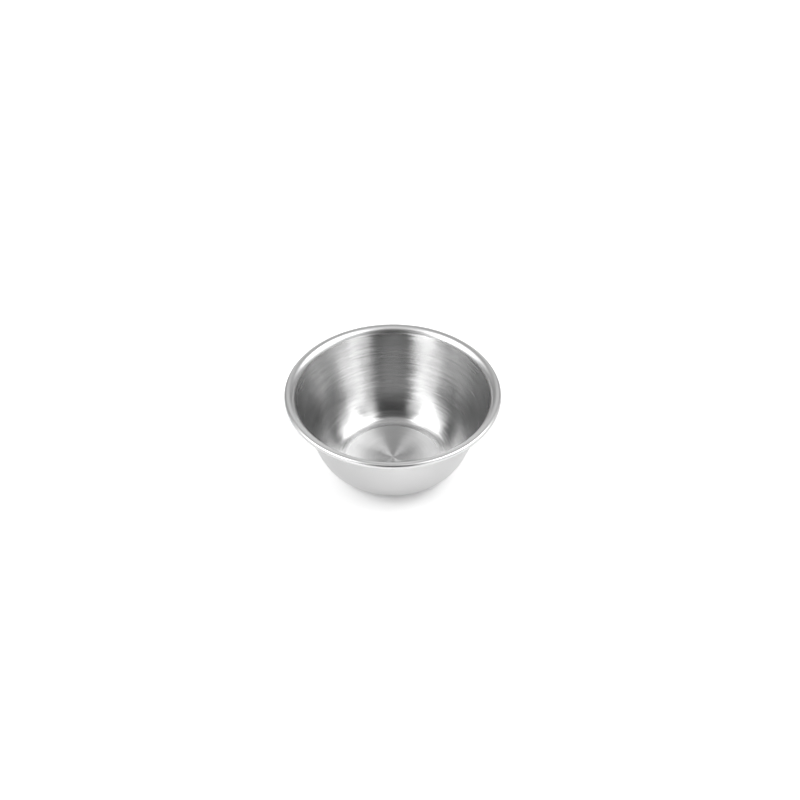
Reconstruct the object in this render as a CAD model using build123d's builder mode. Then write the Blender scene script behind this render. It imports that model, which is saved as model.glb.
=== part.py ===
import os
from math import cos, radians, sin

from build123d import *

os.makedirs("parts", exist_ok=True)

# Driving dimensions, in millimetres and degrees.
# The origin is the centre of the resting face, and +Z is the bowl's axis.
rim_diameter = 110.0      # across the outside of the curled rim
bowl_height = 46.3        # resting face to the crown of the rim
sheet_thickness = 0.6     # stainless sheet
side_slope = 70.0         # side wall above the horizontal
heel_radius = 10.0        # under face of the bend next to the base
heel_turn = 40.0          # how far the heel lifts the sheet before the shoulder takes over
shoulder_radius = 31.0    # under face of the wider bend that runs into the side
flare_radius = 4.2        # top face of the lead-out at the mouth
bead_radius = 1.45        # outside of the curled bead
curl_turn = 285.0         # from the crown, out, down and back under
wire_clearance = 0.05     # between the wire and the hollow of the curl

# The bead's own centre, and the two radii on the under face of the sheet.
bead_center_radius = rim_diameter / 2 - bead_radius
bead_center_height = bowl_height - bead_radius
flare_under_radius = flare_radius - sheet_thickness
curl_under_radius = bead_radius - sheet_thickness
wire_radius = curl_under_radius - wire_clearance

# The straight side takes up the height that the bends leave, and the flat base takes up the radius.
turn = radians(heel_turn)
slope = radians(side_slope)
heel_reach = heel_radius * sin(turn)
heel_rise = heel_radius * (1 - cos(turn))
shoulder_reach = shoulder_radius * (sin(slope) - sin(turn))
shoulder_rise = shoulder_radius * (cos(turn) - cos(slope))
flare_reach = flare_under_radius * sin(slope)
flare_rise = flare_under_radius * (1 - cos(slope))
side_rise = bowl_height - sheet_thickness - heel_rise - shoulder_rise - flare_rise
side_length = side_rise / sin(slope)
side_reach = side_length * cos(slope)
base_radius = bead_center_radius - flare_reach - side_reach - shoulder_reach - heel_reach


def sheet_face(lift):
    """Draw one face of the sheet, from the axis to the edge, lifted off the under face by lift."""
    base = Line((0, lift), (base_radius, lift))
    heel = JernArc(base @ 1, base % 1, heel_radius - lift, heel_turn)
    shoulder = JernArc(heel @ 1, heel % 1, shoulder_radius - lift, side_slope - heel_turn)
    side = Line(shoulder @ 1, shoulder @ 1 + (shoulder % 1) * side_length)
    flare = JernArc(side @ 1, side % 1, flare_under_radius + lift, -side_slope)
    curl = JernArc(flare @ 1, flare % 1, curl_under_radius + lift, -curl_turn)
    return curl @ 1


# Bowl shell: base, heel, shoulder, side, flare and curl, all one sheet turned about the axis.
with BuildPart() as bowl_shell:
    with BuildSketch(Plane.XZ) as sheet_section:
        with BuildLine() as sheet_outline:
            under_edge = sheet_face(0)
            top_edge = sheet_face(sheet_thickness)
            cut_edge = Line(under_edge, top_edge)
            axis_edge = Line((0, 0), (0, sheet_thickness))
        make_face()
    revolve(axis=Axis.Z)

# Rim wire: a ring that the curl closes over, all round the mouth.
with BuildPart() as rim_wire:
    with BuildSketch(Plane.XZ) as wire_section:
        with Locations((bead_center_radius, bead_center_height)):
            Circle(wire_radius)
    revolve(axis=Axis.Z)

bowl_shell.part.label = "bowl_shell"
rim_wire.part.label = "rim_wire"

export_step(bowl_shell.part, "parts/bowl_shell.step")
export_step(rim_wire.part, "parts/rim_wire.step")

print(f"flat base radius {base_radius:.2f}, side {side_rise:.2f} high, wire radius {wire_radius:.2f}")
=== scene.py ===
import math

import bpy
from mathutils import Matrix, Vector


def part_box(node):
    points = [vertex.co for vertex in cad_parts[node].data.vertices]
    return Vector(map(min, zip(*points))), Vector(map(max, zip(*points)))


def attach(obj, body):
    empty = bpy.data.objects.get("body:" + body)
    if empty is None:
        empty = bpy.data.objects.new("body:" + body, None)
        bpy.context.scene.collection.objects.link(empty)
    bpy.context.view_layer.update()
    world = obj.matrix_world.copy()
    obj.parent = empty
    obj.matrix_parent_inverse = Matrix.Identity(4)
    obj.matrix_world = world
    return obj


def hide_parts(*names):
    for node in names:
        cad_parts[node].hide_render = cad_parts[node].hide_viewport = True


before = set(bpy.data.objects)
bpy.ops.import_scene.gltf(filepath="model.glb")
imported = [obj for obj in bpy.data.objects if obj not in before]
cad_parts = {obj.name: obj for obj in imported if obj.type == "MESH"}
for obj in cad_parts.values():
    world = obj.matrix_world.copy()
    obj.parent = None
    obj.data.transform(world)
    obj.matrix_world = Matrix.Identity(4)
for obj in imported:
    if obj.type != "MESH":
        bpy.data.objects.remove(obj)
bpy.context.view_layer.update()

shellLow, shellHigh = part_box("bowl_shell")
wireLow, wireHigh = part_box("rim_wire")
rimRadius = shellHigh.x
bowlHeight = shellHigh.z
wireRadius = (wireHigh.z - wireLow.z) / 2
wireMiddle = (wireHigh.z + wireLow.z) / 2
print("frame: rim radius", round(rimRadius, 4), "height", round(bowlHeight, 4))


# camera

cameraSetup = {
    "elevation": 41.35,        # degrees above the floor
    "distance": 16.57,        # in rim radii, from the middle of the mouth
    "lens": 81,
    "aimRight": 0.0672,        # in rim radii: the bowl stands a little left of the middle and above it
    "aimDown": 0.0600,
}


def makeCamera(s):
    e = math.radians(s["elevation"])
    back = Vector((0, -math.cos(e), math.sin(e)))
    up = Vector((0, math.sin(e), math.cos(e)))
    mouth = Vector((0, 0, wireMiddle))
    aim = mouth + rimRadius * (Vector((s["aimRight"], 0, 0)) - up * s["aimDown"])
    camera = bpy.data.objects.new("camera", bpy.data.cameras.new("camera"))
    camera.data.lens = s["lens"]
    camera.data.sensor_width = 36
    camera.data.clip_start = 0.01
    camera.data.clip_end = 50
    camera.location = aim + back * rimRadius * s["distance"]
    camera.rotation_mode = "QUATERNION"
    camera.rotation_quaternion = (-back).to_track_quat("-Z", "Y")
    bpy.context.scene.collection.objects.link(camera)
    bpy.context.scene.camera = camera


makeCamera(cameraSetup)
print("camera: placed")


# node helpers

def addNode(tree, kind, **settings):
    node = tree.nodes.new(kind)
    inputs = settings.pop("inputs", {})
    for name, value in settings.items():
        setattr(node, name, value)
    for name, value in inputs.items():
        if isinstance(value, bpy.types.NodeSocket):
            tree.links.new(value, node.inputs[name])
        else:
            node.inputs[name].default_value = value
    return node


def mathNode(tree, operation, a, b=0.0, clamp=False):
    node = addNode(tree, "ShaderNodeMath", operation=operation, use_clamp=clamp, inputs={0: a, 1: b})
    return node.outputs[0]


def ramp(tree, value, low, high, outLow=0.0, outHigh=1.0, smooth=True):
    node = addNode(tree, "ShaderNodeMapRange", inputs={
        "Value": value, "From Min": low, "From Max": high, "To Min": outLow, "To Max": outHigh})
    node.interpolation_type = "SMOOTHSTEP" if smooth else "LINEAR"
    return node.outputs["Result"]


def newGroup(name, sockets):
    group = bpy.data.node_groups.new(name, "ShaderNodeTree")
    for inOut, kind, label, value in sockets:
        socket = group.interface.new_socket(name=label, in_out=inOut, socket_type=kind)
        if value is not None:
            socket.default_value = value
    return group


# shared effects

strokes = {
    "fine": {"density": 1.0, "detail": 3.0, "offset": 0.0},        # density is a share of the look's "across"
    "coarse": {"density": 0.36, "detail": 1.0, "offset": 17.0},
    "stray": {"density": 0.65, "detail": 1.0, "offset": 29.0},
    "lineEdges": (0.3, 0.7),        # the noise levels that count as no line and a full line
    "strayEdges": (0.34, 0.66),
    "patchScale": 60.0,        # per metre, for the patches where coarse lines fade
    "patchEdges": (0.4, 0.62),
}


def makeTurnedLines(s):
    # fine lines left by a belt or tool while the bowl spins: long round the axis, thin across it
    group = newGroup("turnedLines", [
        ("INPUT", "NodeSocketFloat", "Across", 1500.0),        # lines per metre along the section
        ("INPUT", "NodeSocketFloat", "Around", 2.0),        # how quickly a line changes round the axis
        ("INPUT", "NodeSocketFloat", "Breaks", 0.5),        # share of coarse lines that fade out
        ("INPUT", "NodeSocketFloat", "Tilt", 0.01),        # lean of the face at a stroke that strays fully
        ("OUTPUT", "NodeSocketFloat", "Fine", None),
        ("OUTPUT", "NodeSocketFloat", "Coarse", None),
        ("OUTPUT", "NodeSocketVector", "Normal", None),
    ])
    ins = addNode(group, "NodeGroupInput").outputs
    outs = addNode(group, "NodeGroupOutput").inputs
    place = addNode(group, "ShaderNodeTexCoord").outputs["Object"]
    along = addNode(group, "ShaderNodeAttribute", attribute_name="along").outputs["Fac"]
    flat = addNode(group, "ShaderNodeVectorMath", operation="MULTIPLY", inputs={0: place, 1: (1, 1, 0)})
    outward = addNode(group, "ShaderNodeVectorMath", operation="NORMALIZE", inputs={0: flat.outputs[0]})
    stretched = addNode(group, "ShaderNodeVectorMath", operation="SCALE",
                        inputs={0: outward.outputs[0], "Scale": ins["Around"]})
    split = addNode(group, "ShaderNodeSeparateXYZ", inputs={0: stretched.outputs[0]})

    def lines(density, detail, offset):
        across = mathNode(group, "MULTIPLY", along, mathNode(group, "MULTIPLY", ins["Across"], density))
        spot = addNode(group, "ShaderNodeCombineXYZ", inputs={
            "X": split.outputs["X"], "Y": split.outputs["Y"], "Z": mathNode(group, "ADD", across, offset)})
        noise = addNode(group, "ShaderNodeTexNoise", inputs={
            "Vector": spot.outputs[0], "Scale": 1.0, "Detail": detail, "Roughness": 0.6})
        return noise.outputs["Fac"]

    fine = ramp(group, lines(**s["fine"]), *s["lineEdges"], smooth=False)
    coarse = ramp(group, lines(**s["coarse"]), *s["lineEdges"], smooth=False)
    wide = addNode(group, "ShaderNodeTexNoise", inputs={
        "Vector": place, "Scale": s["patchScale"], "Detail": 1.0})
    patches = ramp(group, wide.outputs["Fac"], *s["patchEdges"])
    kept = mathNode(group, "SUBTRACT", 1.0, mathNode(group, "MULTIPLY", patches, ins["Breaks"]))
    # a stroke that strays leans the face a little along its own run
    run = addNode(group, "ShaderNodeVectorMath", operation="CROSS_PRODUCT",
                  inputs={0: (0, 0, 1), 1: outward.outputs[0]})
    stray = ramp(group, lines(**s["stray"]), *s["strayEdges"], -1.0, 1.0, smooth=False)
    lean = addNode(group, "ShaderNodeVectorMath", operation="SCALE", inputs={
        0: run.outputs[0], "Scale": mathNode(group, "MULTIPLY", stray, ins["Tilt"])})
    face = addNode(group, "ShaderNodeNewGeometry").outputs["Normal"]
    leaned = addNode(group, "ShaderNodeVectorMath", operation="ADD", inputs={0: face, 1: lean.outputs[0]})
    normal = addNode(group, "ShaderNodeVectorMath", operation="NORMALIZE", inputs={0: leaned.outputs[0]})
    group.links.new(normal.outputs[0], outs["Normal"])
    group.links.new(fine, outs["Fine"])
    group.links.new(mathNode(group, "MULTIPLY", coarse, kept), outs["Coarse"])
    return group


turnedLines = makeTurnedLines(strokes)
print("shared effects: made")


# materials

def steel(name, color, roughness, anisotropy):
    material = bpy.data.materials.new(name)
    material.use_nodes = True
    tree = material.node_tree
    shader = tree.nodes["Principled BSDF"]
    shader.inputs["Metallic"].default_value = 1.0
    shader.inputs["Base Color"].default_value = (*color, 1)
    shader.inputs["Roughness"].default_value = roughness
    shader.inputs["Anisotropic"].default_value = anisotropy
    if anisotropy:
        shader.inputs["Anisotropic Rotation"].default_value = 0.25
        tangent = addNode(tree, "ShaderNodeTangent", direction_type="RADIAL", axis="Z")
        tree.links.new(tangent.outputs[0], shader.inputs["Tangent"])
    return material, tree, shader


def linedSteel(name, look):
    material, tree, shader = steel(name, look["color"], look["roughness"], look["anisotropy"])
    lines = addNode(tree, "ShaderNodeGroup", node_tree=turnedLines, inputs={
        "Across": look["across"], "Around": look["around"], "Breaks": look["breaks"], "Tilt": look["tilt"]})
    mixed = mathNode(tree, "ADD", mathNode(tree, "MULTIPLY", lines.outputs["Fine"], look["fine"]),
                     mathNode(tree, "MULTIPLY", lines.outputs["Coarse"], look["coarse"]))
    low, high = look["shade"]
    shade = ramp(tree, mixed, 0.0, 1.0, low, high, smooth=False)
    tint = addNode(tree, "ShaderNodeVectorMath", operation="SCALE", inputs={0: look["color"], "Scale": shade})
    tree.links.new(tint.outputs[0], shader.inputs["Base Color"])
    rough = ramp(tree, mixed, 0.0, 1.0, look["roughness"] - look["roughSpread"],
                 look["roughness"] + look["roughSpread"], smooth=False)
    tree.links.new(rough, shader.inputs["Roughness"])
    bump = addNode(tree, "ShaderNodeBump", inputs={
        "Strength": look["bump"], "Distance": look["depth"], "Height": mixed,
        "Normal": lines.outputs["Normal"]})
    tree.links.new(bump.outputs[0], shader.inputs["Normal"])
    return material


insideLook = {
    "color": (0.7, 0.7, 0.7), "roughness": 0.25, "roughSpread": 0.03, "anisotropy": 0.9,
    "across": 2600.0, "around": 1.5, "breaks": 0.4, "tilt": 0.016,
    "fine": 0.4, "coarse": 0.6, "shade": (0.8, 1.0), "bump": 0.05, "depth": 0.00002,
}
baseLook = {
    "color": (0.8, 0.8, 0.8), "roughness": 0.34, "roughSpread": 0.04, "anisotropy": 0.95,
    "across": 3400.0, "around": 0.9, "breaks": 0.3, "tilt": 0.012,
    "fine": 0.6, "coarse": 0.4, "shade": (0.9, 1.0), "bump": 0.2, "depth": 0.00002,
}
rimLook = {
    "color": (0.72, 0.72, 0.72), "roughness": 0.32, "roughSpread": 0.02, "anisotropy": 0.0,
    "across": 3000.0, "around": 2.0, "breaks": 0.5, "tilt": 0.0,
    "fine": 0.7, "coarse": 0.3, "shade": (0.97, 1.0), "bump": 0.02, "depth": 0.00001,
}
outsideLook = {
    "color": (0.7, 0.7, 0.7), "roughness": 0.24, "roughSpread": 0.03, "anisotropy": 0.4,
    "across": 4200.0, "around": 2.4, "breaks": 0.6, "tilt": 0.002,
    "fine": 0.8, "coarse": 0.2, "shade": (0.95, 1.0), "bump": 0.06, "depth": 0.00001,
}
wireLook = {"color": (0.6, 0.6, 0.61), "roughness": 0.35, "anisotropy": 0.0}

insideBrushed = linedSteel("insideBrushed", insideLook)
baseSpun = linedSteel("baseSpun", baseLook)
rimSatin = linedSteel("rimSatin", rimLook)
outsideSatin = linedSteel("outsideSatin", outsideLook)
wireDrawn, _, _ = steel("wireDrawn", **wireLook)
print("materials: made")


# bowl shell: one sheet, drawn as a section and turned round the axis

shell = {
    "sheet": 0.0006,
    "sideSlope": 70.0,        # degrees above the floor
    "heelRadius": 0.0100,        # radii of the two lower bends, on the under face
    "heelTurn": 40.0,
    "shoulderRadius": 0.031,
    "flareRadius": 0.0042,        # top face of the lead-out at the mouth
    "beadRadius": 0.00145,
    "curlTurn": 275.0,
    "edgeSteps": 6,        # round the cut edge
    "weld": 0.000003,        # joins the seam, and the points at the axis
    "around": 256,
}


def shellStretches(s):
    # each stretch of the under face, from the axis outwards: length, radius, turn in degrees, steps
    slope = math.radians(s["sideSlope"])
    turn = math.radians(s["heelTurn"])
    heelReach = s["heelRadius"] * math.sin(turn)
    heelRise = s["heelRadius"] * (1 - math.cos(turn))
    shoulderReach = s["shoulderRadius"] * (math.sin(slope) - math.sin(turn))
    shoulderRise = s["shoulderRadius"] * (math.cos(turn) - math.cos(slope))
    flareUnder = s["flareRadius"] - s["sheet"]
    sideRise = bowlHeight - s["sheet"] - heelRise - shoulderRise - flareUnder * (1 - math.cos(slope))
    sideLength = sideRise / math.sin(slope)
    reach = heelReach + shoulderReach + sideLength * math.cos(slope) + flareUnder * math.sin(slope)
    baseRadius = rimRadius - s["beadRadius"] - reach
    return [
        {"name": "base", "length": baseRadius, "steps": 14},
        {"name": "heel", "radius": s["heelRadius"], "turn": s["heelTurn"], "steps": 20},
        {"name": "shoulder", "radius": s["shoulderRadius"], "turn": s["sideSlope"] - s["heelTurn"],
         "steps": 16},
        {"name": "side", "length": sideLength, "steps": 16},
        {"name": "flare", "radius": flareUnder, "turn": -s["sideSlope"], "steps": 20},
        {"name": "curl", "radius": s["beadRadius"] - s["sheet"], "turn": -s["curlTurn"], "steps": 44},
    ]


def drawStretch(pen, stretch, lift):
    # moves the pen along one stretch of the face that is lifted off the under face
    steps = stretch["steps"]
    points = []
    for _ in range(steps):
        if "turn" in stretch:
            step = math.radians(stretch["turn"]) / steps
            radius = stretch["radius"] - math.copysign(lift, step)
            chord = 2 * radius * math.sin(abs(step) / 2)
        else:
            step = 0.0
            chord = stretch["length"] / steps
        pen["x"] += chord * math.cos(pen["heading"] + step / 2)
        pen["z"] += chord * math.sin(pen["heading"] + step / 2)
        pen["heading"] += step
        points.append((pen["x"], 0, pen["z"]))
    return points


def drawFace(stretches, lift):
    pen = {"x": 0.0, "z": lift, "heading": 0.0}
    points = [(0.0, 0, lift)]
    ends = {}
    for stretch in stretches:
        points += drawStretch(pen, stretch, lift)
        ends[stretch["name"]] = len(points) - 1
    return points, ends, pen


def shellSection(s):
    stretches = shellStretches(s)
    top, ends, pen = drawFace(stretches, s["sheet"])
    under, _, _ = drawFace(stretches, 0.0)
    edge = drawStretch(pen, {"radius": s["sheet"] / 2, "turn": -180.0, "steps": s["edgeSteps"]}, 0.0)
    points = top + edge[:-1] + under[::-1]
    along = [0.0]
    for a, b in zip(points, points[1:]):
        along.append(along[-1] + (Vector(b) - Vector(a)).length)
    marks = {name: along[i] for name, i in ends.items()}
    marks["underSide"] = along[len(points) - 1 - ends["side"]]
    return points, along, marks


def sectionObject(name, points, along):
    mesh = bpy.data.meshes.new(name)
    mesh.from_pydata(points, [(i, i + 1) for i in range(len(points) - 1)], [])
    mesh.attributes.new("along", "FLOAT", "POINT").data.foreach_set("value", along)
    piece = bpy.data.objects.new(name, mesh)
    bpy.context.scene.collection.objects.link(piece)
    return piece


def newTree(name, inputs):
    tree = bpy.data.node_groups.new(name, "GeometryNodeTree")
    tree.is_modifier = True
    tree.interface.new_socket(name="Geometry", in_out="OUTPUT", socket_type="NodeSocketGeometry")
    for kind, label in inputs:
        tree.interface.new_socket(name=label, in_out="INPUT", socket_type=kind)
    ins = addNode(tree, "NodeGroupInput").outputs
    outs = addNode(tree, "NodeGroupOutput").inputs
    return tree, ins, outs


def intMath(tree, operation, a, b):
    return addNode(tree, "FunctionNodeIntegerMath", operation=operation, inputs={0: a, 1: b}).outputs[0]


def makeTurnTree():
    # turns a section, drawn in X and Z, round the Z axis, and gives each band of it its finish
    tree, ins, outs = newTree("turnSection", [
        ("NodeSocketGeometry", "Geometry"),
        ("NodeSocketInt", "Around"),
        ("NodeSocketFloat", "Weld"),
        ("NodeSocketFloat", "Base Edge"),
        ("NodeSocketFloat", "Brushed Edge"),
        ("NodeSocketFloat", "Rim Edge"),
        ("NodeSocketMaterial", "Base"),
        ("NodeSocketMaterial", "Inside"),
        ("NodeSocketMaterial", "Rim"),
        ("NodeSocketMaterial", "Outside"),
    ])
    size = addNode(tree, "GeometryNodeAttributeDomainSize", component="MESH",
                   inputs={0: ins["Geometry"]}).outputs["Point Count"]
    grid = addNode(tree, "GeometryNodeMeshGrid", inputs={
        "Size X": 1.0, "Size Y": 1.0, "Vertices X": intMath(tree, "ADD", ins["Around"], 1),
        "Vertices Y": size})
    index = addNode(tree, "GeometryNodeInputIndex").outputs[0]
    onSection = intMath(tree, "MODULO", index, size)
    turnStep = intMath(tree, "DIVIDE_FLOOR", index, size)
    place = addNode(tree, "GeometryNodeInputPosition").outputs[0]
    point = addNode(tree, "GeometryNodeSampleIndex", data_type="FLOAT_VECTOR", domain="POINT")
    tree.links.new(ins["Geometry"], point.inputs["Geometry"])
    tree.links.new(place, point.inputs["Value"])
    tree.links.new(onSection, point.inputs["Index"])
    alongIn = addNode(tree, "GeometryNodeInputNamedAttribute", data_type="FLOAT", inputs={"Name": "along"})
    alongAt = addNode(tree, "GeometryNodeSampleIndex", data_type="FLOAT", domain="POINT")
    tree.links.new(ins["Geometry"], alongAt.inputs["Geometry"])
    tree.links.new(alongIn.outputs["Attribute"], alongAt.inputs["Value"])
    tree.links.new(onSection, alongAt.inputs["Index"])
    share = mathNode(tree, "DIVIDE", turnStep, ins["Around"])
    angle = mathNode(tree, "MULTIPLY", share, math.tau)
    turned = addNode(tree, "ShaderNodeVectorRotate", rotation_type="Z_AXIS",
                     inputs={"Vector": point.outputs["Value"], "Angle": angle})
    moved = addNode(tree, "GeometryNodeSetPosition", inputs={
        "Geometry": grid.outputs["Mesh"], "Position": turned.outputs[0]})
    stored = addNode(tree, "GeometryNodeStoreNamedAttribute", data_type="FLOAT", domain="POINT", inputs={
        "Geometry": moved.outputs[0], "Name": "along", "Value": alongAt.outputs["Value"]})
    sheetMap = addNode(tree, "ShaderNodeCombineXYZ", inputs={"X": share, "Y": alongAt.outputs["Value"]})
    mapped = addNode(tree, "GeometryNodeStoreNamedAttribute", data_type="FLOAT2", domain="CORNER", inputs={
        "Geometry": stored.outputs[0], "Name": "sheetMap", "Value": sheetMap.outputs[0]})
    welded = addNode(tree, "GeometryNodeMergeByDistance", inputs={
        "Geometry": mapped.outputs[0], "Distance": ins["Weld"]})
    smooth = addNode(tree, "GeometryNodeSetShadeSmooth", inputs={"Geometry": welded.outputs[0]})
    last = addNode(tree, "GeometryNodeRealizeInstances", inputs={"Geometry": smooth.outputs[0]}).outputs[0]
    alongHere = addNode(tree, "GeometryNodeInputNamedAttribute", data_type="FLOAT",
                        inputs={"Name": "along"}).outputs["Attribute"]
    # the widest band first, and each later one over it
    bands = [("Outside", None), ("Rim", "Rim Edge"), ("Inside", "Brushed Edge"), ("Base", "Base Edge")]
    for finish, edge in bands:
        paint = addNode(tree, "GeometryNodeSetMaterial", inputs={"Geometry": last, "Material": ins[finish]})
        if edge:
            inside = addNode(tree, "FunctionNodeCompare", data_type="FLOAT", operation="LESS_THAN")
            tree.links.new(alongHere, inside.inputs[0])
            tree.links.new(ins[edge], inside.inputs[1])
            tree.links.new(inside.outputs[0], paint.inputs["Selection"])
        last = paint.outputs[0]
    tree.links.new(last, outs["Geometry"])
    return tree


def bakeTree(name, carrier, tree, values):
    # runs the tree on the carrier, and returns its result as a plain mesh
    modifier = carrier.modifiers.new("nodes", "NODES")
    modifier.node_group = tree
    for item in tree.interface.items_tree:
        if item.item_type == "SOCKET" and item.in_out == "INPUT" and item.name in values:
            modifier[item.identifier] = values[item.name]
    depsgraph = bpy.context.evaluated_depsgraph_get()
    mesh = bpy.data.meshes.new_from_object(carrier.evaluated_get(depsgraph), preserve_all_data_layers=True,
                                           depsgraph=depsgraph)
    carrier.modifiers.remove(modifier)
    bpy.data.objects.remove(carrier)
    mesh.name = name
    piece = bpy.data.objects.new(name, mesh)
    bpy.context.scene.collection.objects.link(piece)
    return piece


points, along, marks = shellSection(shell)
shellPiece = bakeTree("shell", sectionObject("shellSection", points, along), makeTurnTree(), {
    "Around": shell["around"],
    "Weld": shell["weld"],
    "Base Edge": marks["base"],
    "Brushed Edge": marks["side"],
    "Rim Edge": marks["underSide"],
    "Base": baseSpun,
    "Inside": insideBrushed,
    "Rim": rimSatin,
    "Outside": outsideSatin,
})
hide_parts("bowl_shell")
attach(shellPiece, "root")
print("shell:", len(shellPiece.data.polygons), "faces,", len(shellPiece.data.materials), "finishes")


# rim wire: a length of drawn wire bent to a ring inside the curl, its ends butted together

wire = {
    "gap": 0.0002,        # between the two ends
    "around": 180,
    "section": 20,
}


def makeWireTree():
    tree, ins, outs = newTree("bendWire", [
        ("NodeSocketGeometry", "Geometry"),
        ("NodeSocketFloat", "Ring Radius"),
        ("NodeSocketFloat", "Wire Radius"),
        ("NodeSocketFloat", "Height"),
        ("NodeSocketFloat", "Gap"),
        ("NodeSocketInt", "Around"),
        ("NodeSocketInt", "Section"),
        ("NodeSocketMaterial", "Wire"),
    ])
    gapAngle = mathNode(tree, "DIVIDE", ins["Gap"], ins["Ring Radius"])
    arc = addNode(tree, "GeometryNodeCurveArc", inputs={
        "Resolution": ins["Around"], "Radius": ins["Ring Radius"], "Start Angle": gapAngle,
        "Sweep Angle": mathNode(tree, "SUBTRACT", math.tau, gapAngle)})
    ring = addNode(tree, "GeometryNodeCurvePrimitiveCircle", inputs={
        "Resolution": ins["Section"], "Radius": ins["Wire Radius"]})
    swept = addNode(tree, "GeometryNodeCurveToMesh", inputs={
        "Curve": arc.outputs["Curve"], "Profile Curve": ring.outputs["Curve"], "Fill Caps": True})
    lift = addNode(tree, "ShaderNodeCombineXYZ", inputs={"Z": ins["Height"]})
    raised = addNode(tree, "GeometryNodeTransform", inputs={
        "Geometry": swept.outputs[0], "Translation": lift.outputs[0]})
    real = addNode(tree, "GeometryNodeRealizeInstances", inputs={"Geometry": raised.outputs[0]})
    paint = addNode(tree, "GeometryNodeSetMaterial", inputs={
        "Geometry": real.outputs[0], "Material": ins["Wire"]})
    tree.links.new(paint.outputs[0], outs["Geometry"])
    return tree


wireCarrier = sectionObject("wireCarrier", [(0, 0, 0), (0, 0, wireRadius)], [0.0, wireRadius])
wirePiece = bakeTree("rimWire", wireCarrier, makeWireTree(), {
    "Ring Radius": wireHigh.x - wireRadius,
    "Wire Radius": wireRadius,
    "Height": wireMiddle,
    "Gap": wire["gap"],
    "Around": wire["around"],
    "Section": wire["section"],
    "Wire": wireDrawn,
})
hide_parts("rim_wire")
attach(wirePiece, "root")
print("rim wire:", len(wirePiece.data.polygons), "faces")


# floor and studio light

studio = {
    "floorSize": 6.0,
    "floorLit": 0.95,        # how much light the floor throws back at the bowl
    "floorSeen": 1.2,        # and how bright it is exposed, so that it runs to white with the backdrop
    "floorGlow": 0.08,
    "backdrop": 1.3,        # what the camera sees past the floor
    "boxSoft": 12.0,        # degrees over which the edge of a box fades
    "boxes": {        # azimuth from the camera's side towards the right, elevation, half sizes, strength
        "room": (180, 0, 120, 75, 0.29),        # everything but the dark side that the camera stands on
        "ceiling": (0, 90, 200, 22, 0.6),
        "rear": (180, 5, 22, 40, 0.55),
        "leftBank": (-77, 46, 24, 22, 2.8),
        "leftHigh": (-88, 60, 38, 12, 1.0),
        "leftBack": (-112, 45, 16, 10, 1.2),
        "leftEdge": (-57, 30, 11, 9, 1.0),
        "leftUpper": (-37, 36, 11, 10, 1.0),
        "leftLow": (-84, 12, 16, 18, 0.4),
        "leftStrip": (-34, 1, 13, 10, 3.7),
        "rightBank": (90, 46, 26, 22, 1.8),
        "rightHigh": (84, 60, 42, 12, 2.5),
        "rightBack": (112, 45, 16, 10, 1.8),
        "rightEdge": (57, 30, 11, 9, 0.5),
        "rightUpper": (38, 36, 9, 9, 1.1),
        "rightLow": (84, 12, 20, 18, 0.6),
        "rightStrip": (38, 4, 12, 14, 1.9),
    },
}


def makeFloor(s):
    half = s["floorSize"] / 2
    mesh = bpy.data.meshes.new("floor")
    corners = [(-half, -half, 0), (half, -half, 0), (half, half, 0), (-half, half, 0)]
    mesh.from_pydata(corners, [], [(0, 1, 2, 3)])
    floor = bpy.data.objects.new("floor", mesh)
    bpy.context.scene.collection.objects.link(floor)
    material = bpy.data.materials.new("floorPale")
    material.use_nodes = True
    shader = material.node_tree.nodes["Principled BSDF"]
    seen = addNode(material.node_tree, "ShaderNodeLightPath").outputs["Is Camera Ray"]
    tone = addNode(material.node_tree, "ShaderNodeMix", data_type="FLOAT", inputs={
        0: seen, 2: s["floorLit"], 3: s["floorSeen"]}).outputs[0]
    material.node_tree.links.new(tone, shader.inputs["Base Color"])
    shader.inputs["Roughness"].default_value = 0.9
    shader.inputs["Specular IOR Level"].default_value = 0.0
    shader.inputs["Emission Color"].default_value = (1, 1, 1, 1)
    shader.inputs["Emission Strength"].default_value = s["floorGlow"]
    mesh.materials.append(material)


def makeWorld(s):
    world = bpy.data.worlds.new("studio")
    world.use_nodes = True
    tree = world.node_tree
    background = tree.nodes["Background"]
    direction = addNode(tree, "ShaderNodeTexCoord").outputs["Generated"]
    split = addNode(tree, "ShaderNodeSeparateXYZ", inputs={0: direction})
    x, y, z = split.outputs["X"], split.outputs["Y"], split.outputs["Z"]
    azimuth = mathNode(tree, "DEGREES", mathNode(tree, "ARCTAN2", x, mathNode(tree, "MULTIPLY", y, -1.0)))
    elevation = mathNode(tree, "DEGREES", mathNode(tree, "ARCSINE", z))
    light = 0.0
    for middle, height, halfWidth, halfHeight, power in s["boxes"].values():
        turned = addNode(tree, "ShaderNodeMath", operation="WRAP", inputs={
            0: mathNode(tree, "SUBTRACT", azimuth, middle), 1: 180.0, 2: -180.0}).outputs[0]
        raised = mathNode(tree, "SUBTRACT", elevation, height)
        for off, half in ((turned, halfWidth), (raised, halfHeight)):
            fade = s["boxSoft"] / 2
            power = mathNode(tree, "MULTIPLY", power, ramp(
                tree, mathNode(tree, "ABSOLUTE", off), half - fade, half + fade, 1.0, 0.0))
        light = mathNode(tree, "ADD", light, power)
    seen = addNode(tree, "ShaderNodeLightPath").outputs["Is Camera Ray"]
    strength = addNode(tree, "ShaderNodeMix", data_type="FLOAT", inputs={0: seen, 2: light, 3: s["backdrop"]})
    tree.links.new(strength.outputs[0], background.inputs["Strength"])
    background.inputs["Color"].default_value = (1, 1, 1, 1)
    bpy.context.scene.world = world


makeFloor(studio)
makeWorld(studio)
bpy.context.scene.view_settings.view_transform = "Standard"
print("studio: made")
